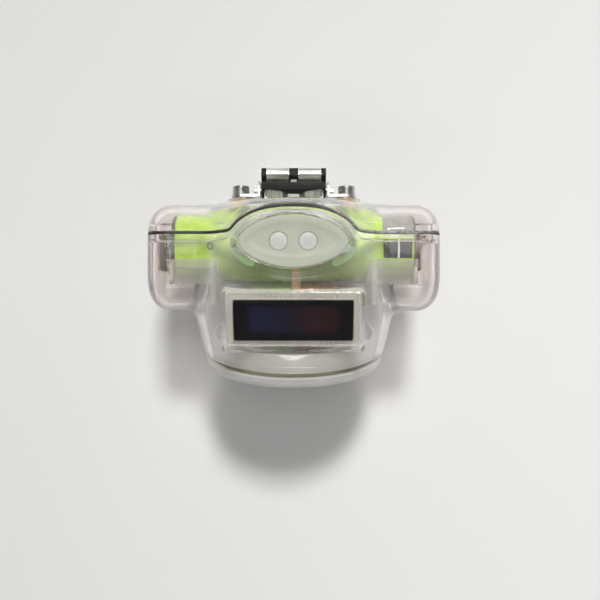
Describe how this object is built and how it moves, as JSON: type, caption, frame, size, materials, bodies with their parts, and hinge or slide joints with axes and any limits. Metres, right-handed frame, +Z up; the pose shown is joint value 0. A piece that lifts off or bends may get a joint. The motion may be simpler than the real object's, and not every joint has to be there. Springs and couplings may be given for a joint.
{
  "type": "miner's cap lamp",
  "caption": "Cordless miner's cap lamp with a clear two-shell housing, lime cell, sloping display, oval two-key pad and sprung steel helmet clip.",
  "frame": {"origin": "centre of the bounding box's underside; the lamp rests on its flat barrel underside with the lens forwards", "axes": "+X along the battery cell (wing to wing), +Y to the rear (clip side; the lens faces -Y and 13 degrees down), +Z up"},
  "size_m": [0.078, 0.0576, 0.0563],
  "materials": {
    "clear_shell": "clear polycarbonate, polished",
    "milky_ring": "milky translucent plastic",
    "lens_window": "clear, hard coated",
    "display_black_glass": "near-black polished glass",
    "black_rubber": "matt",
    "silicone": "milky translucent silicone",
    "reflector_silver": "metallised inside, grey-green back",
    "led": "phosphor under a clear dome",
    "aluminium_core": "satin",
    "circuit_board": "solder resist",
    "black_moulding": "moulded",
    "copper_film": "amber polyimide film with copper",
    "cell_can": null,
    "cell_sleeve": "lime-green shrink sleeve with a dark band",
    "contact_metal": "plated spring metal",
    "brass": "machined",
    "steel": "bright stainless steel",
    "dark_steel": "darkened spring steel"
  },
  "bodies": {
    "housing": {"front_housing": "clear_shell", "rear_cover": "clear_shell", "display_frame": "clear_shell", "battery_cradle": "clear_shell", "lens_bezel_ring": "milky_ring", "front_lens": "lens_window", "display_glass": "display_black_glass", "housing_gasket": "black_rubber", "lens_seal": "black_rubber", "button_pad": "silicone", "reflector": "reflector_silver", "led_emitter": "led", "led_board": "aluminium_core", "heat_sink": "aluminium_core", "display_board": "circuit_board", "button_board": "circuit_board", "main_board": "circuit_board", "display_socket": "black_moulding", "tact_switches": "black_moulding", "board_parts": "black_moulding", "display_ribbon": "copper_film", "button_flex": "copper_film", "battery_cell": "cell_can", "battery_sleeve": "cell_sleeve", "contact_plate_plus": "contact_metal", "contact_plate_minus": "contact_metal", "contact_spring": "contact_metal", "lead_strip_minus": "contact_metal", "lead_strip_plus": "contact_metal", "brass_inserts": "brass", "key_board_screws": "steel", "board_screws": "steel", "clip_screws": "steel", "housing_screws": "steel", "yoke_bracket": "steel", "main_pin": "steel", "pivot_bushes": "steel", "torsion_spring": "steel"},
    "clip_link": {"link_plate": "dark_steel", "knuckle_pin": "steel"},
    "hook": {"hook_blade": "steel"},
    "key_left": {"button_left": "silicone", "switch_plunger_left": "black_moulding"},
    "key_right": {"button_right": "silicone", "switch_plunger_right": "black_moulding"}
  },
  "joints": [
    {"name": "clip_pivot", "type": "hinge", "parent": "housing", "child": "clip_link", "pos_m": [0, 0.02318, 0.03823], "axis": [1, 0, 0], "range_deg": [0, 18], "stiffness_Nm_per_rad": 0.02, "deforming": ["torsion_spring"]},
    {"name": "hook_swing", "type": "hinge", "parent": "clip_link", "child": "hook", "pos_m": [0, 0.02698, 0.04083], "axis": [1, 0, 0], "range_deg": [0, 80]},
    {"name": "key_left_press", "type": "slide", "parent": "housing", "child": "key_left", "axis": [0, 0, -1], "range_m": [0, 0.0006], "stiffness_N_per_m": 400},
    {"name": "key_right_press", "type": "slide", "parent": "housing", "child": "key_right", "axis": [0, 0, -1], "range_m": [0, 0.0006], "stiffness_N_per_m": 400}
  ]
}
